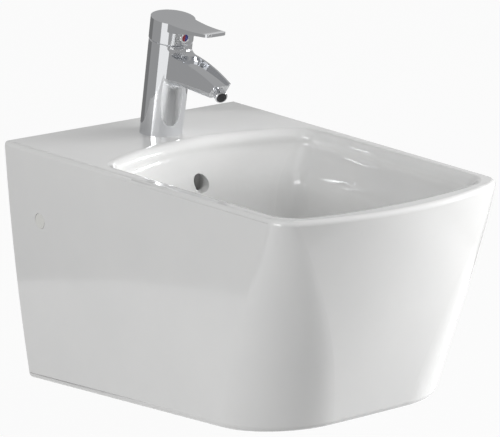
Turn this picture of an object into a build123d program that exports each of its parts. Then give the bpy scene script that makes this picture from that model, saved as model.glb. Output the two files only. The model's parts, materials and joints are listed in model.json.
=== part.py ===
from build123d import *
import os
from math import atan2, cos, radians, sin, sqrt, tan

# Wall-hung bidet with a single-lever tap and a push-open waste.
# The wall is the plane Y = 0 and the bidet projects towards -Y.
# The origin lies on the wall, midway between the two wall studs. All sizes are in millimetres.

os.makedirs("parts", exist_ok=True)

# Ceramic body
rim_height = 90.0
body_width = 360.0
front_taper = 16.0
front_width = body_width - 2 * front_taper
body_projection = 556.0
body_height = 310.0
bottom_taper = 32.0
bottom_width = body_width - 2 * bottom_taper
bottom_front_taper = 27.0
bottom_front_width = body_width - 2 * bottom_front_taper
bottom_set_back = 72.0
bottom_projection = body_projection - bottom_set_back
underside_rise = 0.09
side_belly = 0.46
front_belly = 0.17
top_front_radius = 380.0
bottom_front_radius = 3500.0
top_corner_radius = 30.0
bottom_corner_radius = 96.0
corner_swell = 1.0
rim_edge_radius = 5.0
bottom_edge_radius = 10.0
shell_wall = 10.0
deck_thickness = 13.0
shell_levels = (0.0, 0.25, 0.5, 0.75, 1.0)

# Bowl
bowl_back = 156.0
front_rim = 48.0
bowl_front = body_projection - front_rim
side_rim = 48.0
bowl_back_width = body_width - 2 * side_rim
front_side_rim = 40.0
bowl_front_width = front_width - 2 * front_side_rim
bowl_depth = 150.0
bowl_wall = 9.0
bowl_back_radius = 260.0
bowl_front_radius = 560.0
bowl_back_corner = 26.0
bowl_front_corner = 30.0
bowl_corner_growth = 0.12
bowl_draft = 6.0
bowl_front_lean = 0.16
bowl_floor_round = 46.0
bowl_edge_radius = 12.0
sump_radius = 46.0
sump_depth = 4.0

# Overflow passage inside the ceramic
overflow_drop = 50.0
overflow_diameter = 22.0
duct_width = 30.0
duct_depth = 14.0
duct_wall = 8.0

# Wall fixing
stud_spacing = 180.0
stud_hole = 13.0
barrel_diameter = 42.0
barrel_length = 75.0
barrel_clearance = 0.3
barrel_socket = 27.0
barrel_flange = 18.0
tunnel_wall = 8.0
tunnel_end = 6.0
nut_across_flats = 19.0
nut_bore = 12.4
nut_height = 10.0
stud_washer_diameter = 24.0
stud_washer_thickness = 2.5
side_screw_set_back = 61.5
side_screw_diameter = 8.0
side_screw_clearance = 0.5
side_head_diameter = 13.0
side_head_height = 8.0
side_key = 6.0
side_washer_diameter = 16.0
side_washer_thickness = 1.6
side_hole_diameter = 17.0
side_boss_diameter = 34.0
side_seat = 148.0
insert_diameter = 14.0
insert_length = 6.0
insert_depth = 0.2
cap_diameter = 19.0
cap_seat = 170.4
cap_height = 2.2
cap_plug_length = 7.0
cap_clearance = 0.2

# Underside access opening
access_width = 200.0
access_near = 30.0
access_far = 320.0
access_corner = 30.0
access_ceiling = 10.0

# Tap
tap_set_back = 79.0
tap_hole = 35.0
tap_lean = 10.0
tap_radius = 27.0
tap_wall = 4.0
bridge_start = 62.0
seat_level = 77.0
tap_top = 119.0
chamber_radius = 18.2
collar_radius = 22.0
collar_depth = 5.0
foot_web_low = 5.0
foot_web_high = 17.0
hose_hole_radius = 6.5
hose_offset_x = 11.0
hose_offset_y = 5.0
tap_stud_offset = 12.0
tap_stud_diameter = 8.0
tap_stud_drop = 62.0
tap_boss_depth = 15.0
tap_boss_radius = 30.0
inlet_radius = 5.0
inlet_depth = 9.0
port_radius = 3.0
port_offset_x = 8.5
port_offset_y = 4.0
outlet_offset = 8.0
outlet_radius = 3.0
outlet_drop = 9.5
waterway_radius = 3.5
seal_thickness = 1.2
base_seal_outer = 26.0
base_seal_inner = 23.5
port_seal_radius = 5.2
pad_radius = 24.0
pad_thickness = 3.0
pad_slot_half = 18.0
pad_slot_length = 26.0
plate_thickness = 2.0
tap_nut_height = 12.0
tap_nut_across_flats = 13.0

# Spout, as places seen from the side: out from the wall and above the rim
spout_root = (104.0, 105.5)
spout_middle = (155.0, 98.0)
spout_tip = (203.0, 80.0)
spout_lip = (187.5, 62.5)
spout_underside = (140.0, 67.5)
spout_heel = (104.0, 68.0)
spout_root_half_width = 18.0
spout_tip_half_width = 12.5
spout_bottom_round = 8.0
spout_root_round = 8.0
channel_lip = 2.6
channel_start = (130.0, 98.0)
channel_middle = (155.0, 93.0)
channel_end = (205.0, 76.6)
channel_end_round = 12.0
waterway_crest = (150.0, 79.0)

# Cartridge, measured along the tap's leaning axis
pivot_level = 100.0
stem_lean = 11.0
stem_lower_arm = 9.0
stem_width = 7.0
stem_top = 43.0
stem_ball_radius = 3.0
stem_neck_radius = 2.0
cartridge_radius = 17.4
housing_wall = 1.8
base_level = 78.2
fixed_disc_level = 82.5
moving_disc_level = 86.0
carrier_level = 89.6
carrier_top = 106.5
housing_top = 109.0
disc_radius = 15.3
moving_disc_radius = 11.0
socket_radius = 5.2
socket_height = 4.4
ball_pocket_depth = 1.8
carrier_hollow = 8.2
carrier_slot = 10.6
pin_radius = 1.5
pin_length = 24.0
turning_gap = 0.05
housing_mouth = 10.5
nut_mouth = 12.0
spanner_slot = 3.0

# Dome and handle
dome_radius = 34.1
dome_wall = 2.0
dome_mouth = 15.5
handle_gap = 0.5
handle_radius = 27.5
handle_bottom = 123.5
handle_top = 150.5
hub_radius = 8.5
hub_start = 29.0
hub_end = 36.0
blade_reach = 88.0
blade_tip_level = 159.5
blade_middle = (45.0, 152.4)
blade_tip_thickness = 4.0
blade_root = (24.0, 140.0)
blade_knee = (52.0, 148.0)
blade_root_half_width = 21.5
blade_tip_half_width = 15.0
blade_corner = 7.0
index_level = 132.7
index_radius = 7.0
index_depth = 3.0
index_button_radius = 4.6
grub_diameter = 4.0
grub_start = 10.6
grub_length = 13.5
grub_key = 2.0

# Swivel aerator
ball_set_in = 2.0
ball_lower = 2.0
ball_radius = 5.0
neck_radius = 3.3
neck_bore = 2.3
nozzle_radius = 7.8
nozzle_start = 7.5
nozzle_end = 15.5
nozzle_bore = 6.2
nozzle_edge = 0.8
seat_shell = 0.8
seat_front = 1.9
seat_back = 2.6
swivel_gap = 0.08
collar_front = 2.6
collar_back = 4.0
aerator_collar_radius = 7.6
aerator_collar_edge = 0.4
aerator_raise = 20.0
aerator_turn = 16.0
insert_back = 9.5
screen_thickness = 0.8
screen_pitch = 1.6
screen_rows = 5
aerator_seal_thickness = 1.2

# Waste
waste_set_back = 258.0
waste_hole = 46.0
waste_boss_radius = 40.0
waste_boss_depth = 46.0
chamber_wall = 8.0
flange_radius = 32.0
flange_thickness = 3.0
gasket_thickness = 1.5
waste_tube_radius = 20.5
waste_tube_wall = 2.5
waste_tube_length = 66.0
slot_width = 9.0
slot_count = 4
cone_gasket_height = 4.0
cone_gasket_radius = 30.0
waste_nut_radius = 29.0
waste_nut_height = 9.0
nut_lug_count = 8
tail_radius = 16.0
tail_wall = 1.2
tail_length = 56.0
tail_collar = 3.0
tail_engagement = 16.0
tail_step = 1.0
tail_neck_radius = 15.8
spider_level = 14.0
spider_height = 5.0
spider_rib = 3.0
click_radius = 6.0
click_length = 26.0
click_head = 4.0
click_bore = 4.8
click_stem_radius = 2.5
plug_radius = 31.0
plug_thickness = 3.0
plug_crown = 3.0
plug_seal_radius = 22.0
plug_seal_thickness = 2.0
spring_wire = 0.8
spring_radius = 4.0
spring_turns = 6
spring_length = 12.0

fit_gap = 0.05
piece_gap = 0.3


def save(piece, name):
    """Name a finished piece and write its file."""
    piece.label = name
    export_step(piece, f"parts/{name}.step")


def mix(start, end, share):
    """The value that lies a share of the way from start to end."""
    return start + (end - start) * share


def belly(share, amount):
    """Hold a taper back near the top so that the side bulges out."""
    return share - amount * share * (1 - share)


def down(depth, out=0.0, across=0.0):
    """A place below the rim, out from the wall and across from the middle."""
    return (across, -out, rim_height - depth)


# Outer form of the ceramic body


def shell_plane(share):
    """A plane that lies level at the rim and follows the rising underside at the bottom."""
    return Plane(
        origin=down(body_height * share), x_dir=(1, 0, 0), z_dir=(0, underside_rise * share, 1)
    )


def shell_outline(share, inset, back):
    """One cross-section of the ceramic body, drawn in by an inset and ending at a back line."""
    taper = belly(share, side_belly)
    half_back = mix(body_width, bottom_width, taper) / 2 - inset
    half_front = mix(front_width, bottom_front_width, taper) / 2 - inset
    length = mix(body_projection, bottom_projection, belly(share, front_belly)) - inset
    bow = 1 / mix(1 / top_front_radius, 1 / bottom_front_radius, share)
    corner = mix(top_corner_radius, bottom_corner_radius, belly(share, -corner_swell))
    spread = (half_front - half_back) / length
    far = length + shell_wall
    with BuildSketch(shell_plane(share)) as outline:
        with BuildLine():
            Polyline(
                (-half_back + spread * back, back),
                (half_back - spread * back, back),
                (half_back + spread * far, -far),
                (-half_back - spread * far, -far),
                close=True,
            )
        make_face()
        with Locations((0, bow - length)):
            Circle(bow, mode=Mode.INTERSECT)
        fillet(outline.vertices().group_by(Axis.Y)[0], max(corner - inset, top_corner_radius / 2))
    return outline.sketch.face()


# Bowl form


def bowl_inset(depth, full_depth):
    """How far the bowl's wall has come in at a depth, from its draft and its rounded floor."""
    below = min(bowl_floor_round, max(0.0, depth - (full_depth - bowl_floor_round)))
    return depth * tan(radians(bowl_draft)) + bowl_floor_round - sqrt(bowl_floor_round**2 - below**2)


def bowl_depths(full_depth):
    """Depths of the bowl's cross-sections: three on the wall and the rest round the floor."""
    straight = full_depth - bowl_floor_round
    wall = [0.0, straight * 0.5, straight * 0.85]
    turn = [straight + bowl_floor_round * sin(radians(angle)) for angle in (15, 35, 55, 75, 90)]
    return wall + turn


def bowl_outline(depth, full_depth, grow):
    """One cross-section of the bowl, or of the bowl's outside where it grows by the wall."""
    inset = bowl_inset(depth, full_depth) - grow
    back = bowl_back + inset
    front = bowl_front - inset - depth * bowl_front_lean
    half_back = bowl_back_width / 2 - inset
    half_front = bowl_front_width / 2 - inset
    overrun = bowl_floor_round
    with BuildSketch(Plane.XY.offset(rim_height - depth)) as outline:
        with BuildLine():
            Polyline(
                (-half_back, -back + overrun),
                (half_back, -back + overrun),
                (half_front, -front - overrun),
                (-half_front, -front - overrun),
                close=True,
            )
        make_face()
        with Locations((0, -back - bowl_back_radius)):
            Circle(bowl_back_radius, mode=Mode.INTERSECT)
        with Locations((0, -front + bowl_front_radius)):
            Circle(bowl_front_radius, mode=Mode.INTERSECT)
        fillet(
            outline.vertices().group_by(Axis.Y)[-1], bowl_back_corner + grow + depth * bowl_corner_growth
        )
        fillet(
            outline.vertices().group_by(Axis.Y)[0], bowl_front_corner + grow + depth * bowl_corner_growth
        )
    return outline.sketch.face()


with BuildPart() as bowl_space:
    loft([bowl_outline(depth, bowl_depth, 0.0) for depth in bowl_depths(bowl_depth)])

with BuildPart() as bowl_skin:
    skin_depth = bowl_depth + bowl_wall
    loft([bowl_outline(depth, skin_depth, bowl_wall) for depth in bowl_depths(skin_depth)])

# Places on the waste and the overflow passage
floor_level = bowl_depth + sump_depth
boss_bottom = floor_level + waste_boss_depth
chamber_top = bowl_depth + bowl_wall + sump_depth
chamber_bottom = boss_bottom - chamber_wall
duct_front = bowl_back - bowl_wall + 3.0
duct_back = duct_front - duct_depth
duct_top = overflow_drop - overflow_diameter / 2 - 1.0
duct_bottom_height = chamber_bottom - chamber_top
duct_half = duct_width / 2 + duct_wall

with BuildPart() as overflow_duct:
    with BuildSketch(Plane.XY.offset(rim_height - boss_bottom)):
        with Locations((0, -(waste_set_back + duct_back - duct_wall) / 2)):
            Rectangle(2 * duct_half, waste_set_back - duct_back + duct_wall)
    extrude(amount=boss_bottom - duct_top + duct_wall)
    with BuildSketch(Plane.XY.offset(rim_height - boss_bottom)):
        with Locations((0, -waste_set_back)):
            Circle(waste_boss_radius)
    extrude(amount=boss_bottom - bowl_depth)

with BuildPart() as overflow_space:
    with BuildSketch(Plane.XY.offset(rim_height - chamber_bottom)):
        with Locations((0, -(duct_front + duct_back) / 2)):
            Rectangle(duct_width, duct_depth)
    extrude(amount=chamber_bottom - duct_top)
    with BuildSketch(Plane.XY.offset(rim_height - chamber_bottom)):
        with Locations((0, -(waste_set_back + duct_back) / 2)):
            Rectangle(duct_width, waste_set_back - duct_back)
    extrude(amount=duct_bottom_height)
    with BuildSketch(Plane.XY.offset(rim_height - chamber_bottom)):
        with Locations((0, -waste_set_back)):
            Circle(waste_boss_radius - chamber_wall)
    extrude(amount=duct_bottom_height)
    with BuildSketch(Plane(origin=down(overflow_drop, duct_back + 1.0), x_dir=(1, 0, 0), z_dir=(0, -1, 0))):
        Circle(overflow_diameter / 2)
    extrude(amount=bowl_wall + duct_depth + bowl_edge_radius)

# Ceramic round the wall fixing
tunnel_radius = barrel_diameter / 2 + barrel_clearance
tunnel_depth = barrel_length + piece_gap
side_x = stud_spacing / 2
tunnel_half = tunnel_radius + tunnel_wall

with BuildPart() as fixing_bosses:
    with BuildSketch(Plane.XZ):
        with Locations((side_x, 0)):
            RectangleRounded(2 * tunnel_half, 2 * tunnel_half, tunnel_wall)
    extrude(amount=tunnel_depth + tunnel_end)
    with BuildSketch(Plane.YZ.offset(side_x)):
        with Locations((-side_screw_set_back, 0)):
            Circle(side_boss_diameter / 2)
    extrude(amount=body_width / 2 - side_x - shell_wall / 2)
    mirror(about=Plane.YZ)
    with BuildSketch(Plane.XY.offset(rim_height - tap_boss_depth)):
        with Locations((0, -tap_set_back)):
            Circle(tap_boss_radius)
    extrude(amount=tap_boss_depth)

# Hollow between the bowl and the outer form, open to the wall
hollow_levels = [mix(deck_thickness / body_height, 1 - shell_wall / body_height, k / 4) for k in range(5)]

with BuildPart() as hollow:
    loft([shell_outline(share, shell_wall, shell_wall) for share in hollow_levels])
    add(bowl_skin.part, mode=Mode.SUBTRACT)
    add(overflow_duct.part, mode=Mode.SUBTRACT)
    add(fixing_bosses.part, mode=Mode.SUBTRACT)

with BuildPart() as ceramic_body:
    loft([shell_outline(share, 0.0, 0.0) for share in shell_levels])
    top_face = ceramic_body.faces().sort_by(Axis.Z)[-1]
    fillet(top_face.edges().sort_by(Axis.Y)[:-1], rim_edge_radius)
    bottom_face = ceramic_body.faces().sort_by(Axis.Z)[0]
    fillet(bottom_face.edges().sort_by(Axis.Y)[:-1], bottom_edge_radius)
    add(bowl_space.part, mode=Mode.SUBTRACT)
    rim_edges = ceramic_body.edges().filter_by_position(Axis.Z, rim_height - 0.1, rim_height + 0.1)
    bowl_edges = rim_edges.filter_by_position(Axis.Y, -bowl_front - 1, -bowl_back + 1)
    inner_edges = bowl_edges.filter_by_position(Axis.X, -bowl_back_width / 2, bowl_back_width / 2)
    fillet(inner_edges, bowl_edge_radius)
    add(hollow.part, mode=Mode.SUBTRACT)
    add(overflow_space.part, mode=Mode.SUBTRACT)
    # Shallow sump and waste hole
    with BuildSketch(Plane.XY.offset(rim_height - bowl_depth)):
        with Locations((0, -waste_set_back)):
            Circle(sump_radius)
    with BuildSketch(Plane.XY.offset(rim_height - floor_level)):
        with Locations((0, -waste_set_back)):
            Circle(flange_radius + 1.0)
    loft(mode=Mode.SUBTRACT)
    with BuildSketch(Plane.XY.offset(rim_height - boss_bottom - 1.0)):
        with Locations((0, -waste_set_back)):
            Circle(waste_hole / 2)
    extrude(amount=waste_boss_depth + 2.0, mode=Mode.SUBTRACT)
    # Tap hole in the deck
    with BuildSketch(Plane.XY.offset(rim_height)):
        with Locations((0, -tap_set_back)):
            Circle(tap_hole / 2)
    extrude(amount=-tap_boss_depth - 1.0, mode=Mode.SUBTRACT)
    # Tunnels that take the wall barrels, and the holes from the sides that reach them
    with BuildSketch(Plane.XZ):
        with Locations((side_x, 0), (-side_x, 0)):
            Circle(tunnel_radius)
    extrude(amount=tunnel_depth, mode=Mode.SUBTRACT)
    with BuildSketch(Plane.YZ.offset(-body_width / 2)):
        with Locations((-side_screw_set_back, 0)):
            Circle(side_screw_diameter / 2 + side_screw_clearance)
    extrude(amount=body_width / 2 - side_x, mode=Mode.SUBTRACT)
    with BuildSketch(Plane.YZ.offset(body_width / 2)):
        with Locations((-side_screw_set_back, 0)):
            Circle(side_screw_diameter / 2 + side_screw_clearance)
    extrude(amount=side_x - body_width / 2, mode=Mode.SUBTRACT)
    for side in (-1, 1):
        with BuildSketch(Plane.YZ.offset(side * side_seat)):
            with Locations((-side_screw_set_back, 0)):
                Circle(side_hole_diameter / 2)
        extrude(amount=side * (body_width / 2 - side_seat), mode=Mode.SUBTRACT)
        with BuildSketch(Plane.YZ.offset(side * cap_seat)):
            with Locations((-side_screw_set_back, 0)):
                Circle(cap_diameter / 2 + cap_clearance)
        extrude(amount=side * (body_width / 2 - cap_seat), mode=Mode.SUBTRACT)
    # Access opening in the underside
    with BuildSketch(Plane.XY.offset(rim_height - body_height - 1.0)):
        with Locations((0, -(access_near + access_far) / 2)):
            RectangleRounded(access_width, access_far - access_near, access_corner)
    extrude(amount=body_height - boss_bottom - access_ceiling, mode=Mode.SUBTRACT)
save(ceramic_body.part, "ceramic_body")

# Wall fixing
insert_inner = side_x + barrel_socket / 2 + insert_depth

with BuildPart() as wall_barrels:
    with BuildSketch(Plane.XZ):
        with Locations((side_x, 0)):
            Circle(barrel_diameter / 2)
            Circle(stud_hole / 2, mode=Mode.SUBTRACT)
    extrude(amount=barrel_length)
    with BuildSketch(Plane.XZ.offset(barrel_flange)):
        with Locations((side_x, 0)):
            Circle(barrel_socket / 2)
    extrude(amount=barrel_length, mode=Mode.SUBTRACT)
    with BuildSketch(Plane.YZ.offset(insert_inner)):
        with Locations((-side_screw_set_back, 0)):
            Circle(insert_diameter / 2 + fit_gap)
    extrude(amount=barrel_diameter / 2, mode=Mode.SUBTRACT)
    mirror(about=Plane.YZ)
save(wall_barrels.part, "wall_barrels")

with BuildPart() as barrel_inserts:
    with BuildSketch(Plane.YZ.offset(insert_inner)):
        with Locations((-side_screw_set_back, 0)):
            Circle(insert_diameter / 2)
            Circle(side_screw_diameter / 2 + fit_gap, mode=Mode.SUBTRACT)
    extrude(amount=insert_length)
    mirror(about=Plane.YZ)
save(barrel_inserts.part, "barrel_inserts")

with BuildPart() as stud_washers:
    with BuildSketch(Plane.XZ.offset(barrel_flange)):
        with Locations((side_x, 0), (-side_x, 0)):
            Circle(stud_washer_diameter / 2)
            Circle(stud_hole / 2, mode=Mode.SUBTRACT)
    extrude(amount=stud_washer_thickness)
save(stud_washers.part, "stud_washers")

with BuildPart() as stud_nuts:
    with BuildSketch(Plane.XZ.offset(barrel_flange + stud_washer_thickness)):
        with Locations((side_x, 0), (-side_x, 0)):
            RegularPolygon(nut_across_flats / 2, 6, major_radius=False)
            Circle(nut_bore / 2, mode=Mode.SUBTRACT)
    extrude(amount=nut_height)
save(stud_nuts.part, "stud_nuts")

with BuildPart() as side_washers:
    with BuildSketch(Plane.YZ.offset(side_seat)):
        with Locations((-side_screw_set_back, 0)):
            Circle(side_washer_diameter / 2)
            Circle(side_screw_diameter / 2 + fit_gap, mode=Mode.SUBTRACT)
    extrude(amount=side_washer_thickness)
    mirror(about=Plane.YZ)
save(side_washers.part, "side_washers")

side_head_seat = side_seat + side_washer_thickness

with BuildPart() as side_screws:
    with BuildSketch(Plane.YZ.offset(side_head_seat)):
        with Locations((-side_screw_set_back, 0)):
            Circle(side_screw_diameter / 2)
    extrude(amount=insert_inner + piece_gap - side_head_seat)
    with BuildSketch(Plane.YZ.offset(side_head_seat)):
        with Locations((-side_screw_set_back, 0)):
            Circle(side_head_diameter / 2)
    extrude(amount=side_head_height)
    with BuildSketch(Plane.YZ.offset(side_head_seat + side_head_height)):
        with Locations((-side_screw_set_back, 0)):
            RegularPolygon(side_key / 2, 6, major_radius=False)
    extrude(amount=-side_head_height / 2, mode=Mode.SUBTRACT)
    mirror(about=Plane.YZ)
save(side_screws.part, "side_screws")

with BuildPart() as side_caps:
    with BuildSketch(Plane.YZ.offset(cap_seat)):
        with Locations((-side_screw_set_back, 0)):
            Circle(cap_diameter / 2)
    extrude(amount=cap_height)
    fillet(side_caps.faces().sort_by(Axis.X)[-1].edges(), cap_height / 3)
    with BuildSketch(Plane.YZ.offset(cap_seat)):
        with Locations((-side_screw_set_back, 0)):
            Circle(side_hole_diameter / 2 - cap_clearance)
            Circle(side_head_diameter / 2, mode=Mode.SUBTRACT)
    extrude(amount=-cap_plug_length)
    mirror(about=Plane.YZ)
save(side_caps.part, "side_caps")

# Tap body and spout

tap_plane = Plane(
    origin=down(0, tap_set_back),
    x_dir=(1, 0, 0),
    z_dir=(0, -sin(radians(tap_lean)), cos(radians(tap_lean))),
)
tap_side_plane = Plane(
    origin=down(0, tap_set_back),
    x_dir=(0, -cos(radians(tap_lean)), -sin(radians(tap_lean))),
    z_dir=(-1, 0, 0),
)


def on_tap(level, front=0.0, across=0.0):
    """A place on the leaning tap: along its axis, in front of it and across."""
    return tap_plane.from_local_coords(Vector(across, -front, level))


def beside(place):
    """A place on the side view, given out from the wall and above the rim."""
    return (-place[0], rim_height + place[1])


def spout_half_width(out):
    """Half the spout's width at a distance out from the wall."""
    share = (out - spout_root[0]) / (spout_tip[0] - spout_root[0])
    return mix(spout_root_half_width, spout_tip_half_width, share)


def spout_plan(start, end, inset, end_round):
    """The spout's outline from above, between two distances from the wall."""
    with BuildSketch(Plane.XY.offset(rim_height)) as plan:
        with BuildLine():
            Polyline(
                (-spout_half_width(start) + inset, -start),
                (spout_half_width(start) - inset, -start),
                (spout_half_width(end) - inset, -end),
                (-spout_half_width(end) + inset, -end),
                close=True,
            )
        make_face()
        if end_round > 0:
            fillet(plan.vertices().group_by(Axis.Y)[-1], end_round)
    return plan.sketch.face()


tip_middle = ((spout_tip[0] + spout_lip[0]) / 2, (spout_tip[1] + spout_lip[1]) / 2)
tip_drop = atan2(spout_tip[0] - spout_lip[0], spout_tip[1] - spout_lip[1])
ball_out = tip_middle[0] - ball_set_in * cos(tip_drop) - ball_lower * sin(tip_drop)
ball_height = tip_middle[1] + ball_set_in * sin(tip_drop) - ball_lower * cos(tip_drop)
ball_centre = Vector(0, -ball_out, rim_height + ball_height)
socket_plane = Plane(origin=ball_centre, x_dir=(1, 0, 0), z_dir=(0, -cos(tip_drop), -sin(tip_drop)))
nozzle_drop = tip_drop - radians(aerator_raise)
nozzle_turn = radians(aerator_turn)
seat_plane = Plane(
    origin=ball_centre, x_dir=(1, 0, 0), z_dir=(0, -cos(nozzle_drop), -sin(nozzle_drop))
)
nozzle_plane = Plane(
    origin=ball_centre,
    x_dir=(cos(nozzle_turn), -sin(nozzle_turn) * cos(nozzle_drop), -sin(nozzle_turn) * sin(nozzle_drop)),
    z_dir=(-sin(nozzle_turn), -cos(nozzle_turn) * cos(nozzle_drop), -cos(nozzle_turn) * sin(nozzle_drop)),
)
socket_sphere = ball_radius + seat_shell + 2 * swivel_gap
pocket_depth = collar_back + aerator_seal_thickness

with BuildPart() as spout_blank:
    with BuildSketch(Plane.YZ):
        with BuildLine():
            ThreePointArc(beside(spout_root), beside(spout_middle), beside(spout_tip))
            Polyline(
                beside(spout_tip),
                beside(spout_lip),
                beside(spout_underside),
                beside(spout_heel),
                beside(spout_root),
            )
        make_face()
    extrude(amount=tap_radius, both=True)
    extrude(
        spout_plan(spout_root[0] - 1.0, spout_tip[0] + 1.0, 0.0, 0.0),
        amount=tap_top,
        dir=(0, 0, 1),
        mode=Mode.INTERSECT,
    )
    low_edges = spout_blank.edges().filter_by_position(Axis.Z, rim_height, rim_height + spout_heel[1] + 0.1)
    fillet(low_edges.filter_by(Axis.X, reverse=True), spout_bottom_round)

with BuildPart() as spout_channel:
    with BuildSketch(Plane.YZ):
        with BuildLine():
            ThreePointArc(beside(channel_start), beside(channel_middle), beside(channel_end))
            Polyline(
                beside(channel_end),
                (-channel_end[0], rim_height + tap_top),
                (-channel_start[0], rim_height + tap_top),
                beside(channel_start),
            )
        make_face()
    extrude(amount=tap_radius, both=True)
    extrude(
        spout_plan(channel_start[0], channel_end[0], channel_lip, channel_end_round),
        amount=tap_top,
        dir=(0, 0, 1),
        mode=Mode.INTERSECT,
    )

with BuildPart() as foot_web:
    with BuildSketch(tap_plane.offset(-tap_wall)):
        Circle(tap_radius - tap_wall / 2)
    extrude(amount=bridge_start / 2)
    split(bisect_by=Plane.XY.offset(rim_height + foot_web_low), keep=Keep.TOP)
    split(bisect_by=Plane.XY.offset(rim_height + foot_web_high), keep=Keep.BOTTOM)

waterway = (
    on_tap(seat_level - outlet_drop, outlet_offset),
    Vector(0, *beside(waterway_crest)),
    socket_plane.from_local_coords(Vector(0, 0, -pocket_depth)),
)

# How far out from the wall the spout's joint with the leaning body reaches
spout_root_reach = tap_set_back + tap_top * sin(radians(tap_lean)) + tap_radius

with BuildPart() as tap_body:
    with BuildSketch(tap_plane.offset(-tap_radius / 2)):
        Circle(tap_radius)
    extrude(amount=tap_top + tap_radius / 2)
    split(bisect_by=Plane.XY.offset(rim_height), keep=Keep.TOP)
    add(spout_blank.part)
    joint_edges = tap_body.edges().filter_by_position(
        Axis.Z, rim_height + spout_heel[1] - spout_bottom_round, rim_height + spout_root[1]
    )
    fillet(joint_edges.filter_by_position(Axis.Y, -spout_root_reach, -spout_root[0]), spout_root_round)
    add(spout_channel.part, mode=Mode.SUBTRACT)
    # Hollow foot, closed above by the bridge that carries the cartridge
    with BuildSketch(tap_plane.offset(-tap_radius / 2)):
        Circle(tap_radius - tap_wall)
    extrude(amount=bridge_start + tap_radius / 2, mode=Mode.SUBTRACT)
    add(foot_web.part)
    with BuildSketch(Plane.XY.offset(rim_height)):
        with Locations((hose_offset_x, -tap_set_back - hose_offset_y)):
            Circle(hose_hole_radius)
        with Locations((-hose_offset_x, -tap_set_back - hose_offset_y)):
            Circle(hose_hole_radius)
        with Locations((0, -tap_set_back + tap_stud_offset)):
            Circle(tap_stud_diameter / 2 + fit_gap)
    extrude(amount=foot_web_high + 1.0, mode=Mode.SUBTRACT)
    with BuildSketch(Plane.XY.offset(rim_height)):
        with Locations((0, -tap_set_back)):
            Circle(base_seal_outer)
            Circle(base_seal_inner, mode=Mode.SUBTRACT)
    extrude(amount=seal_thickness, mode=Mode.SUBTRACT)
    # Cartridge chamber and the recess for the dome's collar
    with BuildSketch(tap_plane.offset(seat_level)):
        Circle(chamber_radius)
    extrude(amount=tap_top - seat_level + 1.0, mode=Mode.SUBTRACT)
    with BuildSketch(tap_plane.offset(tap_top - collar_depth)):
        Circle(collar_radius)
    extrude(amount=collar_depth + 1.0, mode=Mode.SUBTRACT)
    # Inlets, ports and the way out to the spout
    with BuildSketch(tap_plane.offset(bridge_start)):
        with Locations((port_offset_x, port_offset_y), (-port_offset_x, port_offset_y)):
            Circle(inlet_radius)
    extrude(amount=inlet_depth, mode=Mode.SUBTRACT)
    with BuildSketch(tap_plane.offset(bridge_start)):
        with Locations((port_offset_x, port_offset_y), (-port_offset_x, port_offset_y)):
            Circle(port_radius)
    extrude(amount=seat_level - bridge_start + 1.0, mode=Mode.SUBTRACT)
    with BuildSketch(tap_plane.offset(seat_level + 1.0)):
        with Locations((0, -outlet_offset)):
            Circle(outlet_radius)
    extrude(amount=-outlet_drop - 1.0, mode=Mode.SUBTRACT)
    with Locations(*waterway):
        Sphere(waterway_radius, mode=Mode.SUBTRACT)
    for start, end in zip(waterway, waterway[1:]):
        with BuildSketch(Plane(origin=start, x_dir=(1, 0, 0), z_dir=end - start)):
            Circle(waterway_radius)
        extrude(amount=(end - start).length, mode=Mode.SUBTRACT)
    # Pocket for the swivel aerator
    with BuildSketch(socket_plane.offset(-pocket_depth)):
        Circle(aerator_collar_radius)
    extrude(amount=pocket_depth + ball_set_in * 3, mode=Mode.SUBTRACT)
save(tap_body.part, "tap_body")

with BuildPart() as base_seal:
    with BuildSketch(Plane.XY.offset(rim_height)):
        with Locations((0, -tap_set_back)):
            Circle(base_seal_outer - fit_gap)
            Circle(base_seal_inner + fit_gap, mode=Mode.SUBTRACT)
    extrude(amount=seal_thickness)
save(base_seal.part, "base_seal")

# Tap fixing under the deck


def horseshoe(depth, thickness):
    """A plate with one open side, clamped under the deck round the tap's stud and hoses."""
    with BuildPart() as shoe:
        with BuildSketch(Plane.XY.offset(rim_height - depth)):
            with Locations((0, -tap_set_back)):
                Circle(pad_radius)
            with Locations((0, -tap_set_back - pad_radius + pad_slot_length / 2)):
                Rectangle(2 * pad_slot_half, pad_slot_length, mode=Mode.SUBTRACT)
            with Locations((0, -tap_set_back + tap_stud_offset)):
                Circle(tap_stud_diameter / 2 + piece_gap, mode=Mode.SUBTRACT)
        extrude(amount=-thickness)
    return shoe.part


save(horseshoe(tap_boss_depth, pad_thickness), "clamp_pad")
save(horseshoe(tap_boss_depth + pad_thickness, plate_thickness), "clamp_plate")
tap_nut_level = tap_boss_depth + pad_thickness + plate_thickness

with BuildPart() as tap_stud:
    with BuildSketch(Plane.XY.offset(rim_height + foot_web_high)):
        with Locations((0, -tap_set_back + tap_stud_offset)):
            Circle(tap_stud_diameter / 2)
    extrude(amount=-foot_web_high - tap_stud_drop)
    chamfer(tap_stud.edges(), tap_stud_diameter / 10)
save(tap_stud.part, "tap_stud")

with BuildPart() as tap_nut:
    with BuildSketch(Plane.XY.offset(rim_height - tap_nut_level)):
        with Locations((0, -tap_set_back + tap_stud_offset)):
            RegularPolygon(tap_nut_across_flats / 2, 6, major_radius=False)
            Circle(tap_stud_diameter / 2 + fit_gap, mode=Mode.SUBTRACT)
    extrude(amount=-tap_nut_height)
save(tap_nut.part, "tap_nut")

# Cartridge

ports = ((port_offset_x, port_offset_y), (-port_offset_x, port_offset_y), (0, -outlet_offset))

with BuildPart() as cartridge_seals:
    with BuildSketch(tap_plane.offset(seat_level)):
        with Locations(*ports):
            Circle(port_seal_radius)
            Circle(outlet_radius + fit_gap, mode=Mode.SUBTRACT)
    extrude(amount=base_level - seat_level)
save(cartridge_seals.part, "cartridge_seals")

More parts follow.
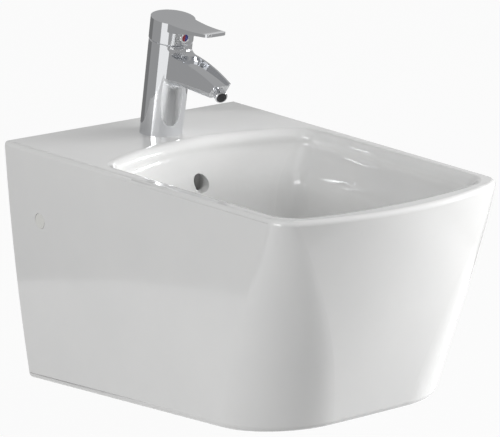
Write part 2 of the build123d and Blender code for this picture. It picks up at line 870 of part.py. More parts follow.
with BuildPart() as cartridge_base:
    with BuildSketch(tap_plane.offset(base_level)):
        Circle(cartridge_radius)
        with Locations(*ports):
            Circle(port_radius, mode=Mode.SUBTRACT)
    extrude(amount=fixed_disc_level - base_level)
save(cartridge_base.part, "cartridge_base")

with BuildPart() as fixed_disc:
    with BuildSketch(tap_plane.offset(fixed_disc_level)):
        Circle(disc_radius)
        with Locations(*ports):
            Circle(port_radius, mode=Mode.SUBTRACT)
    extrude(amount=moving_disc_level - fixed_disc_level)
save(fixed_disc.part, "fixed_disc")

stem_throw = stem_lower_arm * sin(radians(stem_lean))

with BuildPart() as moving_disc:
    with BuildSketch(tap_plane.offset(moving_disc_level + turning_gap)):
        with Locations((0, stem_throw)):
            Circle(moving_disc_radius)
    extrude(amount=carrier_level - moving_disc_level - 2 * turning_gap)
    with BuildSketch(tap_plane.offset(carrier_level - turning_gap)):
        with Locations((0, stem_throw)):
            Circle(socket_radius)
    extrude(amount=socket_height)
    with BuildSketch(tap_plane.offset(carrier_level + socket_height)):
        with Locations((0, stem_throw)):
            Circle(stem_ball_radius + turning_gap)
    extrude(amount=-socket_height - ball_pocket_depth, mode=Mode.SUBTRACT)
save(moving_disc.part, "moving_disc")

carrier_radius = cartridge_radius - housing_wall - turning_gap

with BuildPart() as turning_carrier:
    with BuildSketch(tap_plane.offset(carrier_level)):
        Circle(carrier_radius)
    extrude(amount=carrier_top - carrier_level)
    with BuildSketch(tap_plane.offset(carrier_level)):
        Circle(carrier_hollow)
    extrude(amount=pivot_level - pin_radius * 2 - carrier_level, mode=Mode.SUBTRACT)
    with BuildSketch(tap_plane.offset(carrier_level)):
        Rectangle(stem_width + 2 * turning_gap, carrier_slot)
    extrude(amount=carrier_top - carrier_level + 1.0, mode=Mode.SUBTRACT)
    with BuildSketch(Plane(origin=on_tap(pivot_level, 0, -pin_length / 2), x_dir=(0, 1, 0), z_dir=(1, 0, 0))):
        Circle(pin_radius + fit_gap)
    extrude(amount=pin_length, mode=Mode.SUBTRACT)
    with BuildSketch(Plane(origin=on_tap(pivot_level), x_dir=(0, 1, 0), z_dir=(1, 0, 0))):
        Circle(pin_radius + fit_gap)
    extrude(amount=carrier_radius + 1.0, mode=Mode.SUBTRACT)
save(turning_carrier.part, "turning_carrier")

with BuildPart() as pivot_pin:
    with BuildSketch(Plane(origin=on_tap(pivot_level, 0, -pin_length / 2), x_dir=(0, 1, 0), z_dir=(1, 0, 0))):
        Circle(pin_radius)
    extrude(amount=pin_length)
save(pivot_pin.part, "pivot_pin")

stem_angle = radians(tap_lean + stem_lean)
stem_plane = Plane(
    origin=on_tap(pivot_level), x_dir=(1, 0, 0), z_dir=(0, -sin(stem_angle), cos(stem_angle))
)

with BuildPart() as lever_stem:
    with BuildSketch(stem_plane.offset(-stem_width / 2)):
        Rectangle(stem_width, stem_width)
    extrude(amount=stem_top + stem_width / 2)
    chamfer(lever_stem.faces().sort_by(Axis.Z)[-1].edges(), stem_width / 12)
    with BuildSketch(stem_plane.offset(-stem_lower_arm)):
        Circle(stem_neck_radius)
    extrude(amount=stem_lower_arm)
    with Locations(stem_plane.from_local_coords(Vector(0, 0, -stem_lower_arm))):
        Sphere(stem_ball_radius)
    with BuildSketch(Plane(origin=on_tap(pivot_level, 0, -stem_width), x_dir=(0, 1, 0), z_dir=(1, 0, 0))):
        Circle(pin_radius + fit_gap)
    extrude(amount=2 * stem_width, mode=Mode.SUBTRACT)
save(lever_stem.part, "lever_stem")

with BuildPart() as cartridge_housing:
    with BuildSketch(tap_plane.offset(fixed_disc_level)):
        Circle(cartridge_radius)
        Circle(cartridge_radius - housing_wall, mode=Mode.SUBTRACT)
    extrude(amount=housing_top - fixed_disc_level)
    with BuildSketch(tap_plane.offset(carrier_top + piece_gap)):
        Circle(cartridge_radius - housing_wall / 2)
        Circle(housing_mouth, mode=Mode.SUBTRACT)
    extrude(amount=housing_top - carrier_top - piece_gap)
save(cartridge_housing.part, "cartridge_housing")

with BuildPart() as cartridge_nut:
    with BuildSketch(tap_plane.offset(housing_top)):
        Circle(chamber_radius - fit_gap)
        Circle(nut_mouth, mode=Mode.SUBTRACT)
    extrude(amount=tap_top - housing_top - piece_gap)
    with BuildSketch(tap_plane.offset(tap_top)):
        with PolarLocations((nut_mouth + chamber_radius) / 2, 4):
            Rectangle(chamber_radius, spanner_slot)
    extrude(amount=-spanner_slot / 2, mode=Mode.SUBTRACT)
save(cartridge_nut.part, "cartridge_nut")

with BuildPart() as dome_cover:
    with BuildSketch(tap_plane.offset(tap_top)):
        Circle(tap_radius)
    extrude(amount=dome_radius)
    with Locations(on_tap(pivot_level)):
        Sphere(dome_radius, mode=Mode.INTERSECT)
        Sphere(dome_radius - dome_wall, mode=Mode.SUBTRACT)
    with BuildSketch(tap_plane.offset(tap_top)):
        Circle(dome_mouth)
    extrude(amount=dome_radius, mode=Mode.SUBTRACT)
    with BuildSketch(tap_plane.offset(tap_top)):
        Circle(tap_radius - fit_gap)
        Circle(collar_radius - dome_wall, mode=Mode.SUBTRACT)
    extrude(amount=dome_wall / 2)
    with BuildSketch(tap_plane.offset(tap_top)):
        Circle(collar_radius - fit_gap)
        Circle(collar_radius - dome_wall, mode=Mode.SUBTRACT)
    extrude(amount=piece_gap - collar_depth)
save(dome_cover.part, "dome_cover")

# Handle

with BuildPart() as lever_blade:
    with BuildSketch(tap_side_plane):
        with BuildLine():
            ThreePointArc((0, handle_top), blade_middle, (blade_reach, blade_tip_level))
            Polyline(
                (blade_reach, blade_tip_level),
                (blade_reach, blade_tip_level - blade_tip_thickness),
                blade_knee,
                blade_root,
                (0, blade_root[1]),
                (0, handle_top),
            )
        make_face()
    extrude(amount=handle_radius, both=True)
    with BuildSketch(tap_plane.offset(blade_root[1] - 1.0)) as blade_plan:
        with BuildLine():
            Polyline(
                (-blade_root_half_width, 0),
                (blade_root_half_width, 0),
                (blade_root_half_width, -blade_root[0] / 2),
                (blade_tip_half_width, -blade_reach),
                (-blade_tip_half_width, -blade_reach),
                (-blade_root_half_width, -blade_root[0] / 2),
                close=True,
            )
        make_face()
        fillet(blade_plan.vertices().group_by(Axis.Y)[0], blade_corner)
    extrude(amount=handle_radius, mode=Mode.INTERSECT)

with BuildPart() as handle:
    with BuildSketch(tap_plane.offset(handle_bottom)):
        Circle(handle_radius)
    extrude(amount=handle_top - handle_bottom)
    add(lever_blade.part)
    with Locations(on_tap(pivot_level)):
        Sphere(dome_radius + handle_gap, mode=Mode.SUBTRACT)
    with BuildSketch(stem_plane.offset(hub_start)):
        Circle(hub_radius)
    extrude(amount=hub_end - hub_start)
    with BuildSketch(stem_plane.offset(hub_start)):
        Rectangle(stem_width + 2 * fit_gap, stem_width + 2 * fit_gap)
    extrude(amount=stem_top + piece_gap - hub_start, mode=Mode.SUBTRACT)
    with BuildSketch(
        Plane(origin=on_tap(index_level, handle_radius + 1.0), x_dir=(1, 0, 0), z_dir=-tap_plane.y_dir)
    ):
        Circle(index_radius)
    extrude(amount=-index_depth - 1.0, mode=Mode.SUBTRACT)
    with BuildSketch(
        Plane(origin=on_tap(index_level, handle_radius), x_dir=(1, 0, 0), z_dir=-tap_plane.y_dir)
    ):
        Circle(grub_diameter / 2 + fit_gap)
    extrude(amount=grub_start - handle_radius - 2.0, mode=Mode.SUBTRACT)
save(handle.part, "lever_handle")

index_plane = Plane(
    origin=on_tap(index_level, handle_radius - index_depth), x_dir=(1, 0, 0), z_dir=-tap_plane.y_dir
)

with BuildPart() as index_bezel:
    with BuildSketch(index_plane):
        Circle(index_radius - fit_gap)
    extrude(amount=index_depth)
    chamfer(index_bezel.faces().sort_by(Axis.Y)[0].edges(), index_depth / 6)
    with BuildSketch(index_plane.offset(index_depth / 2)):
        Circle(index_button_radius)
    extrude(amount=index_depth, mode=Mode.SUBTRACT)
save(index_bezel.part, "index_bezel")

with BuildPart() as index_button:
    with BuildSketch(index_plane.offset(index_depth / 2)):
        Circle(index_button_radius - fit_gap)
    extrude(amount=index_depth / 2)
save(index_button.part, "index_button")

with BuildPart() as grub_screw:
    grub_plane = Plane(origin=on_tap(index_level, grub_start), x_dir=(1, 0, 0), z_dir=-tap_plane.y_dir)
    with BuildSketch(grub_plane):
        Circle(grub_diameter / 2)
    extrude(amount=grub_length)
    chamfer(grub_screw.faces().sort_by(Axis.Y)[-1].edges(), grub_diameter / 5)
    with BuildSketch(grub_plane.offset(grub_length)):
        RegularPolygon(grub_key / 2, 6, major_radius=False)
    extrude(amount=-grub_key, mode=Mode.SUBTRACT)
save(grub_screw.part, "grub_screw")

# Swivel aerator

with BuildPart() as aerator_seal:
    with BuildSketch(socket_plane.offset(-pocket_depth)):
        Circle(aerator_collar_radius - fit_gap)
        Circle(waterway_radius + piece_gap, mode=Mode.SUBTRACT)
    extrude(amount=aerator_seal_thickness)
    with Locations(ball_centre):
        Sphere(socket_sphere, mode=Mode.SUBTRACT)
save(aerator_seal.part, "aerator_seal")

with BuildPart() as aerator_collar:
    with BuildSketch(socket_plane.offset(-collar_back)):
        Circle(aerator_collar_radius - fit_gap)
    extrude(amount=collar_back + collar_front)
    chamfer(aerator_collar.faces().sort_by(Axis.Y)[0].edges(), aerator_collar_edge)
    with Locations(ball_centre):
        Sphere(socket_sphere, mode=Mode.SUBTRACT)
save(aerator_collar.part, "aerator_collar")

with BuildPart() as swivel_seat:
    with BuildSketch(seat_plane.offset(-seat_back)):
        Circle(ball_radius * 2)
    extrude(amount=seat_back + seat_front)
    with Locations(ball_centre):
        Sphere(socket_sphere - swivel_gap, mode=Mode.INTERSECT)
        Sphere(ball_radius + swivel_gap, mode=Mode.SUBTRACT)
save(swivel_seat.part, "swivel_seat")

with BuildPart() as swivel_nozzle:
    with Locations(ball_centre):
        Sphere(ball_radius)
    with BuildSketch(nozzle_plane):
        Circle(neck_radius)
    extrude(amount=nozzle_start + 1.0)
    with BuildSketch(nozzle_plane.offset(nozzle_start)):
        Circle(nozzle_radius)
    extrude(amount=nozzle_end - nozzle_start)
    chamfer(swivel_nozzle.edges().sort_by(Axis(ball_centre, nozzle_plane.z_dir))[-1], nozzle_edge)
    with BuildSketch(nozzle_plane.offset(-ball_radius)):
        Circle(neck_bore)
    extrude(amount=ball_radius + nozzle_end, mode=Mode.SUBTRACT)
    with BuildSketch(nozzle_plane.offset(insert_back)):
        Circle(nozzle_bore)
    extrude(amount=nozzle_end, mode=Mode.SUBTRACT)
save(swivel_nozzle.part, "swivel_nozzle")

with BuildPart() as flow_insert:
    with BuildSketch(nozzle_plane.offset(insert_back)):
        Circle(nozzle_bore - fit_gap)
        with PolarLocations(nozzle_bore / 2, 6):
            Circle(nozzle_bore / 6, mode=Mode.SUBTRACT)
    extrude(amount=nozzle_end - insert_back - 2 * screen_thickness)
save(flow_insert.part, "flow_insert")

with BuildPart() as flow_screen:
    with BuildSketch(nozzle_plane.offset(nozzle_end - 2 * screen_thickness)):
        Circle(nozzle_bore - fit_gap)
        with GridLocations(screen_pitch, screen_pitch, screen_rows, screen_rows):
            Rectangle(screen_pitch / 2, screen_pitch / 2, mode=Mode.SUBTRACT)
    extrude(amount=screen_thickness)
save(flow_screen.part, "flow_screen")

# Waste


def waste_plane(depth):
    """A level plane centred on the waste at a depth below the rim."""
    return Plane(origin=down(depth, waste_set_back), x_dir=(1, 0, 0), z_dir=(0, 0, 1))


flange_top = floor_level - gasket_thickness - flange_thickness
tube_bottom = floor_level + waste_tube_length
tube_bore = waste_tube_radius - waste_tube_wall
hub_top = flange_top + spider_level
slot_height = chamber_bottom - chamber_top - duct_wall

with BuildPart() as waste_body:
    with BuildSketch(waste_plane(flange_top + flange_thickness)):
        Circle(flange_radius)
        Circle(tube_bore, mode=Mode.SUBTRACT)
    extrude(amount=flange_thickness)
    fillet(waste_body.faces().sort_by(Axis.Z)[-1].outer_wire().edges(), flange_thickness / 2)
    with BuildSketch(waste_plane(tube_bottom)):
        Circle(waste_tube_radius)
        Circle(tube_bore, mode=Mode.SUBTRACT)
    extrude(amount=tube_bottom - flange_top - flange_thickness / 2)
    with BuildSketch(waste_plane(hub_top + spider_height)):
        Circle(click_radius + spider_rib)
        with PolarLocations(tube_bore / 2 + waste_tube_wall / 2, 3):
            Rectangle(tube_bore + waste_tube_wall, spider_rib)
        Circle(click_radius + fit_gap, mode=Mode.SUBTRACT)
    extrude(amount=spider_height)
    with BuildSketch(waste_plane(chamber_bottom - duct_wall / 2)):
        with PolarLocations(waste_tube_radius, slot_count):
            Rectangle(waste_tube_wall * 4, slot_width)
    extrude(amount=slot_height, mode=Mode.SUBTRACT)
save(waste_body.part, "waste_body")

with BuildPart() as waste_gasket:
    with BuildSketch(waste_plane(floor_level)):
        Circle(cone_gasket_radius)
        Circle(waste_hole / 2 + piece_gap, mode=Mode.SUBTRACT)
    extrude(amount=gasket_thickness)
save(waste_gasket.part, "waste_gasket")

with BuildPart() as cone_gasket:
    with BuildSketch(waste_plane(boss_bottom + cone_gasket_height)):
        Circle(cone_gasket_radius)
        Circle(waste_tube_radius + fit_gap, mode=Mode.SUBTRACT)
    extrude(amount=cone_gasket_height)
    with BuildSketch(waste_plane(boss_bottom)):
        Circle(waste_hole / 2 - fit_gap)
        Circle(waste_tube_radius + fit_gap, mode=Mode.SUBTRACT)
    extrude(amount=cone_gasket_height)
save(cone_gasket.part, "cone_gasket")

waste_nut_top = boss_bottom + cone_gasket_height

with BuildPart() as waste_nut:
    with BuildSketch(waste_plane(waste_nut_top + waste_nut_height)):
        Circle(waste_nut_radius)
        Circle(waste_tube_radius + fit_gap, mode=Mode.SUBTRACT)
        with PolarLocations(waste_nut_radius, nut_lug_count):
            Rectangle(waste_tube_wall, waste_nut_height / 2, mode=Mode.SUBTRACT)
    extrude(amount=waste_nut_height)
save(waste_nut.part, "waste_nut")

tail_top = tube_bottom - tail_engagement

with BuildPart() as waste_tail:
    # Free length for the trap, and the neck that goes up into the waste body
    with BuildSketch(waste_plane(tail_top + tail_length)):
        Circle(tail_radius)
        Circle(tail_radius - tail_wall, mode=Mode.SUBTRACT)
    extrude(amount=tail_length - tail_engagement - tail_step)
    with BuildSketch(waste_plane(tube_bottom + tail_step)):
        Circle(tail_neck_radius)
        Circle(tail_radius - tail_wall, mode=Mode.SUBTRACT)
    extrude(amount=tail_engagement + tail_step)
    with BuildSketch(waste_plane(tail_top + tail_collar)):
        Circle(tube_bore - fit_gap)
        Circle(tail_radius - tail_wall, mode=Mode.SUBTRACT)
    extrude(amount=tail_collar)
save(waste_tail.part, "waste_tail")

with BuildPart() as tail_seal:
    with BuildSketch(waste_plane(tail_top + 2 * tail_collar)):
        Circle(tube_bore - fit_gap)
        Circle(tail_neck_radius + fit_gap, mode=Mode.SUBTRACT)
    extrude(amount=tail_collar)
save(tail_seal.part, "tail_seal")

with BuildPart() as click_housing:
    with BuildSketch(waste_plane(hub_top + click_length)):
        Circle(click_radius)
    extrude(amount=click_length)
    with BuildSketch(waste_plane(hub_top)):
        Circle(click_radius + spider_rib)
    extrude(amount=click_head / 2)
    with BuildSketch(waste_plane(hub_top + click_length - click_head / 2)):
        Circle(click_bore)
    extrude(amount=click_length + click_head, mode=Mode.SUBTRACT)
save(click_housing.part, "click_housing")

foot_bottom = hub_top + click_length - click_head / 2 - spring_length
plug_bottom = flange_top - piece_gap - plug_seal_thickness

with BuildPart() as click_stem:
    with BuildSketch(waste_plane(foot_bottom)):
        Circle(click_bore - piece_gap)
    extrude(amount=click_head)
    with BuildSketch(waste_plane(foot_bottom)):
        Circle(click_stem_radius)
    extrude(amount=foot_bottom - plug_bottom)
save(click_stem.part, "click_stem")

coil_height = spring_length - spring_wire - 2 * fit_gap
coil_start = Vector(*down(foot_bottom + spring_length - spring_wire / 2 - fit_gap, waste_set_back))

with BuildPart() as click_spring:
    with BuildLine() as coil:
        Helix(coil_height / spring_turns, coil_height, spring_radius, center=coil_start)
    with BuildSketch(Plane(origin=coil.line @ 0, z_dir=coil.line % 0)):
        Circle(spring_wire / 2)
    sweep(is_frenet=True)
save(click_spring.part, "click_spring")

plug_sphere = (plug_radius**2 + plug_crown**2) / (2 * plug_crown)

with BuildPart() as waste_plug:
    with BuildSketch(waste_plane(plug_bottom)):
        Circle(plug_radius)
    extrude(amount=plug_thickness + plug_crown)
    chamfer(waste_plug.faces().sort_by(Axis.Z)[0].edges(), plug_thickness / 2)
    with Locations(down(plug_bottom - plug_thickness - plug_crown + plug_sphere, waste_set_back)):
        Sphere(plug_sphere, mode=Mode.INTERSECT)
save(waste_plug.part, "waste_plug")

with BuildPart() as plug_seal:
    with BuildSketch(waste_plane(plug_bottom + plug_seal_thickness)):
        Circle(plug_seal_radius)
        Circle(plug_seal_radius - plug_seal_thickness * 2, mode=Mode.SUBTRACT)
    extrude(amount=plug_seal_thickness)
save(plug_seal.part, "plug_seal")
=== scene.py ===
import bpy
import json
from math import cos, radians, sin
from mathutils import Matrix, Vector

# Looks of the wall-hung bidet: camera, materials, soft edges and studio light. Lengths are in metres.
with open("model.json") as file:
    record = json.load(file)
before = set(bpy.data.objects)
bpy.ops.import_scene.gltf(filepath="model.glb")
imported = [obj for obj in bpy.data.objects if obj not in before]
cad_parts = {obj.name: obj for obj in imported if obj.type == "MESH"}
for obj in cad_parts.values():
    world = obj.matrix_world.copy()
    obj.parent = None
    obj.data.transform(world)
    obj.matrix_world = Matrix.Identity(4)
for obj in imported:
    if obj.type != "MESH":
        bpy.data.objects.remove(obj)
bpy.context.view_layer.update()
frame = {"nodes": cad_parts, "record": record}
nodes = frame["nodes"]

# Camera, solved from the photograph
CAMERA_PLACE = Vector((-2.4018, -3.2798, 1.0241))
CAMERA_FORWARD = Vector((0.60175, 0.75762, -0.25279))
CAMERA_LENS = 238.97
CAMERA_SENSOR = 36.0
CAMERA_REACH = 50.0

# The stretch of a noise that carries its contrast
NOISE_LOW = 0.3
NOISE_HIGH = 0.7

# Least and greatest share of a material's own roughness
METAL_SHARES = (0.8, 1.25)
MOULDED_SHARES = (0.85, 1.15)

# Enamel of the index, whose colours meet on the tap's middle plane
HOT_RED = (0.20, 0.02, 0.025)
COLD_BLUE = (0.025, 0.03, 0.16)
INDEX_STEEPNESS = 100.0
INDEX_MIDDLE = 0.5

# Soft edges
TAP_EDGE = 0.0006
HANDLE_EDGE = 0.0011
SMALL_EDGE = 0.0002
EDGE_ANGLE = 32.0
EDGE_STEPS = 3

# Light
WORLD_AMBIENT = 0.33
BODY_MIDDLE = Vector((0.0, -0.28, 0.02))

# Floor, below a rim that hangs 400 mm high
RIM_HEIGHT = 0.09
RIM_ABOVE_FLOOR = 0.40
FLOOR_HEIGHT = RIM_HEIGHT - RIM_ABOVE_FLOOR
FLOOR_MIDDLE = Vector((2.0, 2.5, FLOOR_HEIGHT))
FLOOR_HALF = 9.0
FLOOR_TONE = 0.32
FLOOR_ROUGHNESS = 0.9
FLOOR_WHITENESS = 0.95

# Screens that the chrome mirrors. A bright band runs behind the tap.
SCREEN_RADIUS = 0.85
SCREEN_STEPS = 24
SCREEN_TOP = 4.0
BAND_LOW = 0.22
BAND_HIGH = 0.36
CEILING_HALF = 0.45
CEILING_HEIGHT = 1.7

# Where the screens end round the bidet, in degrees from +X towards +Y
RIGHT_START = -25
BAND_START = 15
BACK_START = 35
BACK_END = 112
STRIPE_START = 162
STRIPE_END = 206
FRONT_END = RIGHT_START + 360


def link_object(name, data):
    """Put the data into the scene as an object."""
    thing = bpy.data.objects.new(name, data)
    bpy.context.scene.collection.objects.link(thing)
    return thing


def add_camera():
    """The photograph's own viewpoint, with no roll."""
    lens = bpy.data.cameras.new("photo_camera")
    lens.lens = CAMERA_LENS
    lens.sensor_width = CAMERA_SENSOR
    lens.clip_end = CAMERA_REACH
    camera = link_object("photo_camera", lens)
    forward = CAMERA_FORWARD.normalized()
    right = forward.cross(Vector((0, 0, 1))).normalized()
    up = right.cross(forward)
    turn = Matrix((right, up, -forward)).transposed()
    camera.matrix_world = Matrix.Translation(CAMERA_PLACE) @ turn.to_4x4()
    bpy.context.scene.camera = camera


add_camera()
bpy.context.scene.view_settings.view_transform = "Standard"

# Materials


def new_material(name, colour, roughness, metallic=0.0):
    """A node material with its Principled shader set to plain values."""
    material = bpy.data.materials.new(name)
    material.use_nodes = True
    shader = material.node_tree.nodes["Principled BSDF"]
    shader.inputs["Base Color"].default_value = (*colour, 1.0)
    shader.inputs["Roughness"].default_value = roughness
    shader.inputs["Metallic"].default_value = metallic
    return material, shader


def add_noise(material, scale, detail=3.0):
    """Noise in the object's own metres."""
    tree = material.node_tree
    place = tree.nodes.new("ShaderNodeTexCoord")
    noise = tree.nodes.new("ShaderNodeTexNoise")
    noise.inputs["Scale"].default_value = scale
    noise.inputs["Detail"].default_value = detail
    tree.links.new(place.outputs["Object"], noise.inputs["Vector"])
    return noise


def spread(material, source, socket, low, high):
    """Drive a shader socket between two values from a noise."""
    tree = material.node_tree
    scale = tree.nodes.new("ShaderNodeMapRange")
    scale.inputs["From Min"].default_value = NOISE_LOW
    scale.inputs["From Max"].default_value = NOISE_HIGH
    scale.inputs["To Min"].default_value = low
    scale.inputs["To Max"].default_value = high
    tree.links.new(source.outputs["Fac"], scale.inputs["Value"])
    tree.links.new(scale.outputs["Result"], socket)


def tint(material, source, shader, dark, light):
    """Drive the base colour between two colours from a noise."""
    tree = material.node_tree
    ramp = tree.nodes.new("ShaderNodeValToRGB")
    ramp.color_ramp.elements[0].position = NOISE_LOW
    ramp.color_ramp.elements[0].color = (*dark, 1.0)
    ramp.color_ramp.elements[1].position = NOISE_HIGH
    ramp.color_ramp.elements[1].color = (*light, 1.0)
    tree.links.new(source.outputs["Fac"], ramp.inputs["Fac"])
    tree.links.new(ramp.outputs["Color"], shader.inputs["Base Color"])


def raise_surface(material, shader, source, depth):
    """Raise the surface a little from a noise. The depth is in metres."""
    tree = material.node_tree
    bump = tree.nodes.new("ShaderNodeBump")
    bump.inputs["Strength"].default_value = 1.0
    bump.inputs["Distance"].default_value = depth
    tree.links.new(source.outputs["Fac"], bump.inputs["Height"])
    tree.links.new(bump.outputs["Normal"], shader.inputs["Normal"])


def make_glaze():
    """White sanitary glaze: glossy, faintly uneven, with a trace of tone variation."""
    material, shader = new_material("glaze", colour=(0.83, 0.83, 0.82), roughness=0.10)
    shader.inputs["IOR"].default_value = 1.52
    shader.inputs["Coat Weight"].default_value = 0.35
    shader.inputs["Coat Roughness"].default_value = 0.03
    tone = add_noise(material, scale=9.0)
    tint(material, tone, shader, dark=(0.815, 0.817, 0.812), light=(0.845, 0.845, 0.838))
    waves = add_noise(material, scale=45.0, detail=2.0)
    raise_surface(material, shader, waves, depth=0.00006)
    gloss = add_noise(material, scale=120.0)
    spread(material, gloss, shader.inputs["Roughness"], low=0.08, high=0.14)
    return material


def make_chrome():
    """Polished chrome plate with the slight waviness of polished brass under it."""
    material, shader = new_material("chrome", colour=(0.80, 0.81, 0.83), roughness=0.05, metallic=1.0)
    gloss = add_noise(material, scale=160.0)
    spread(material, gloss, shader.inputs["Roughness"], low=0.035, high=0.075)
    waves = add_noise(material, scale=60.0, detail=2.0)
    raise_surface(material, shader, waves, depth=0.00002)
    return material


def make_metal(name, dark, light, roughness, grain):
    """Machined or plated metal with a fine grain."""
    material, shader = new_material(name, light, roughness, metallic=1.0)
    source = add_noise(material, grain, detail=6.0)
    tint(material, source, shader, dark, light)
    low, high = METAL_SHARES
    spread(material, source, shader.inputs["Roughness"], roughness * low, roughness * high)
    raise_surface(material, shader, source, depth=0.00003)
    return material


def make_moulded(name, dark, light, roughness, grain):
    """Moulded plastic or rubber with a fine texture."""
    material, shader = new_material(name, light, roughness)
    source = add_noise(material, grain, detail=5.0)
    tint(material, source, shader, dark, light)
    low, high = MOULDED_SHARES
    spread(material, source, shader.inputs["Roughness"], roughness * low, roughness * high)
    raise_surface(material, shader, source, depth=0.00004)
    return material


def make_index():
    """Enamel in red on the hot side and blue on the cold side."""
    material, shader = new_material("index_enamel", HOT_RED, roughness=0.2)
    tree = material.node_tree
    place = tree.nodes.new("ShaderNodeTexCoord")
    split = tree.nodes.new("ShaderNodeSeparateXYZ")
    ramp = tree.nodes.new("ShaderNodeValToRGB")
    shift = tree.nodes.new("ShaderNodeMath")
    shift.operation = "MULTIPLY_ADD"
    shift.inputs[1].default_value = INDEX_STEEPNESS
    shift.inputs[2].default_value = INDEX_MIDDLE
    ramp.color_ramp.interpolation = "CONSTANT"
    ramp.color_ramp.elements[0].color = (*HOT_RED, 1.0)
    ramp.color_ramp.elements[1].position = INDEX_MIDDLE
    ramp.color_ramp.elements[1].color = (*COLD_BLUE, 1.0)
    tree.links.new(place.outputs["Object"], split.inputs["Vector"])
    tree.links.new(split.outputs["X"], shift.inputs[0])
    tree.links.new(shift.outputs["Value"], ramp.inputs["Fac"])
    tree.links.new(ramp.outputs["Color"], shader.inputs["Base Color"])
    return material


# Each slot's material. The colours are a darker and a lighter tone, then come roughness and grain.
looks = {
    "ceramic": make_glaze(),
    "chrome": make_chrome(),
    "brass": make_metal("brass", (0.62, 0.45, 0.20), (0.74, 0.56, 0.28), 0.28, 400.0),
    "steel": make_metal("zinc_plate", (0.52, 0.53, 0.54), (0.64, 0.65, 0.66), 0.32, 500.0),
    "grey_plastic": make_moulded("grey_plastic", (0.17, 0.175, 0.18), (0.21, 0.215, 0.22), 0.5, 900.0),
    "white_plastic": make_moulded("white_plastic", (0.76, 0.76, 0.73), (0.82, 0.82, 0.79), 0.35, 900.0),
    "black_plastic": make_moulded("black_plastic", (0.04, 0.04, 0.042), (0.06, 0.06, 0.063), 0.4, 900.0),
    "black_rubber": make_moulded("black_rubber", (0.012, 0.012, 0.012), (0.022, 0.022, 0.022), 0.65, 700.0),
    "disc_ceramic": make_moulded("disc_ceramic", (0.72, 0.69, 0.62), (0.78, 0.75, 0.68), 0.25, 800.0),
    "red_blue_index": make_index(),
}

for part in frame["record"]["subparts"]:
    mesh = nodes[part["node"]].data
    mesh.materials.clear()
    mesh.materials.append(looks[part["material_slot"]])

# Soft edges on the pieces that show


def soften(name, width):
    """Round off a CAD node's sharp edges with a modifier."""
    bevel = nodes[name].modifiers.new("soft_edge", "BEVEL")
    bevel.width = width
    bevel.segments = EDGE_STEPS
    bevel.limit_method = "ANGLE"
    bevel.angle_limit = radians(EDGE_ANGLE)
    bevel.use_clamp_overlap = True
    bevel.harden_normals = True


soften("tap_body", TAP_EDGE)
soften("lever_handle", HANDLE_EDGE)
soften("dome_cover", SMALL_EDGE)

# Studio


def light_path_sum(tree, *rays):
    """1 for the named kinds of ray, otherwise 0."""
    path = tree.nodes.new("ShaderNodeLightPath")
    output = path.outputs[rays[0]]
    for ray in rays[1:]:
        either = tree.nodes.new("ShaderNodeMath")
        either.operation = "MAXIMUM"
        tree.links.new(output, either.inputs[0])
        tree.links.new(path.outputs[ray], either.inputs[1])
        output = either.outputs["Value"]
    return output


def add_world():
    """A white surround for what the camera and the reflections see, and a softer one for the light."""
    world = bpy.data.worlds.new("studio")
    world.use_nodes = True
    tree = world.node_tree
    tree.nodes.clear()
    white = tree.nodes.new("ShaderNodeBackground")
    white.inputs["Color"].default_value = (1.0, 1.0, 1.0, 1.0)
    white.inputs["Strength"].default_value = 1.0
    soft = tree.nodes.new("ShaderNodeBackground")
    soft.inputs["Color"].default_value = (1.0, 1.0, 1.0, 1.0)
    soft.inputs["Strength"].default_value = WORLD_AMBIENT
    blend = tree.nodes.new("ShaderNodeMixShader")
    out = tree.nodes.new("ShaderNodeOutputWorld")
    seen = light_path_sum(tree, "Is Camera Ray", "Is Glossy Ray", "Is Transmission Ray")
    tree.links.new(seen, blend.inputs["Fac"])
    tree.links.new(soft.outputs["Background"], blend.inputs[1])
    tree.links.new(white.outputs["Background"], blend.inputs[2])
    tree.links.new(blend.outputs["Shader"], out.inputs["Surface"])
    bpy.context.scene.world = world


def level_square(middle, half, height):
    """Corners of a level square, in turn."""
    left, right = middle.x - half, middle.x + half
    front, back = middle.y - half, middle.y + half
    return [(left, front, height), (right, front, height), (right, back, height), (left, back, height)]


def add_floor():
    """A plain pale floor below the bidet, white to the camera apart from the soft shadow."""
    mesh = bpy.data.meshes.new("floor")
    mesh.from_pydata(level_square(FLOOR_MIDDLE, FLOOR_HALF, FLOOR_HEIGHT), [], [(0, 1, 2, 3)])
    floor = link_object("floor", mesh)
    material, shader = new_material("floor", (FLOOR_TONE, FLOOR_TONE, FLOOR_TONE), FLOOR_ROUGHNESS)
    tree = material.node_tree
    glow = tree.nodes.new("ShaderNodeEmission")
    glow.inputs["Color"].default_value = (1.0, 1.0, 1.0, 1.0)
    glow.inputs["Strength"].default_value = 1.0
    share = tree.nodes.new("ShaderNodeMath")
    share.operation = "MULTIPLY"
    share.inputs[1].default_value = FLOOR_WHITENESS
    blend = tree.nodes.new("ShaderNodeMixShader")
    seen = light_path_sum(tree, "Is Camera Ray", "Is Glossy Ray", "Is Transmission Ray")
    tree.links.new(seen, share.inputs[0])
    tree.links.new(share.outputs["Value"], blend.inputs["Fac"])
    tree.links.new(shader.outputs["BSDF"], blend.inputs[1])
    tree.links.new(glow.outputs["Emission"], blend.inputs[2])
    tree.links.new(blend.outputs["Shader"], tree.nodes["Material Output"].inputs["Surface"])
    mesh.materials.append(material)


def add_softbox(name, place, side, power):
    """A square lamp that faces the middle of the body."""
    lamp = bpy.data.lights.new(name, "AREA")
    lamp.shape = "RECTANGLE"
    lamp.size = side
    lamp.size_y = side
    lamp.energy = power
    box = link_object(name, lamp)
    box.location = place
    box.rotation_euler = (BODY_MIDDLE - Vector(place)).to_track_quat("-Z", "Y").to_euler()


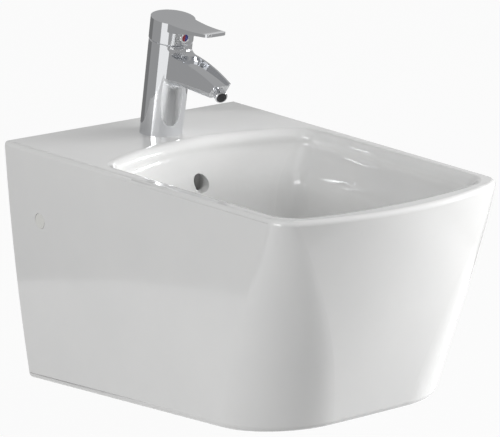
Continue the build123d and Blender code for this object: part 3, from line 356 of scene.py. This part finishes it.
def place_screen(name, points, faces, tone):
    """A glowing card that only the reflections show."""
    mesh = bpy.data.meshes.new(name)
    mesh.from_pydata(points, [], faces)
    screen = link_object(name, mesh)
    screen.visible_camera = False
    screen.visible_diffuse = False
    screen.visible_shadow = False
    material = bpy.data.materials.new(name)
    material.use_nodes = True
    tree = material.node_tree
    tree.nodes.remove(tree.nodes["Principled BSDF"])
    glow = tree.nodes.new("ShaderNodeEmission")
    glow.inputs["Color"].default_value = (tone, tone, tone, 1.0)
    tree.links.new(glow.outputs["Emission"], tree.nodes["Material Output"].inputs["Surface"])
    mesh.materials.append(material)


def add_screen(name, first_angle, last_angle, low, high, tone):
    """A curved screen round the bidet, between two angles and two heights."""
    points = []
    for step in range(SCREEN_STEPS + 1):
        angle = radians(first_angle + (last_angle - first_angle) * step / SCREEN_STEPS)
        across = BODY_MIDDLE.x + SCREEN_RADIUS * cos(angle)
        along = BODY_MIDDLE.y + SCREEN_RADIUS * sin(angle)
        points.append((across, along, low))
        points.append((across, along, high))
    faces = [(2 * step, 2 * step + 2, 2 * step + 3, 2 * step + 1) for step in range(SCREEN_STEPS)]
    place_screen(name, points, faces, tone)


def add_ceiling(name, tone):
    """A square card straight above the bidet."""
    points = level_square(BODY_MIDDLE, CEILING_HALF, CEILING_HEIGHT)
    place_screen(name, points, [(0, 1, 2, 3)], tone)


add_world()
add_floor()
add_softbox("right_softbox", place=(2.9, -1.5, 0.3), side=1.5, power=136.0)
add_softbox("left_softbox", place=(-2.75, -0.35, 0.4), side=1.4, power=30.0)
add_softbox("top_softbox", place=(0.9, -1.9, 1.8), side=1.6, power=25.0)
add_screen("low_back_screen", BACK_START, BACK_END, FLOOR_HEIGHT, BAND_LOW, tone=0.20)
add_screen("band_screen", BAND_START, BACK_END, BAND_LOW, BAND_HIGH, tone=0.66)
add_screen("high_back_screen", RIGHT_START, BACK_END, BAND_HIGH, SCREEN_TOP, tone=0.40)
add_screen("right_screen", RIGHT_START, BACK_START, FLOOR_HEIGHT, BAND_LOW, tone=0.36)
add_ceiling("dark_ceiling", tone=0.03)
add_screen("left_screen", BACK_END, STRIPE_START, FLOOR_HEIGHT, SCREEN_TOP, tone=0.34)
add_screen("front_screen", STRIPE_END, FRONT_END, FLOOR_HEIGHT, SCREEN_TOP, tone=0.36)
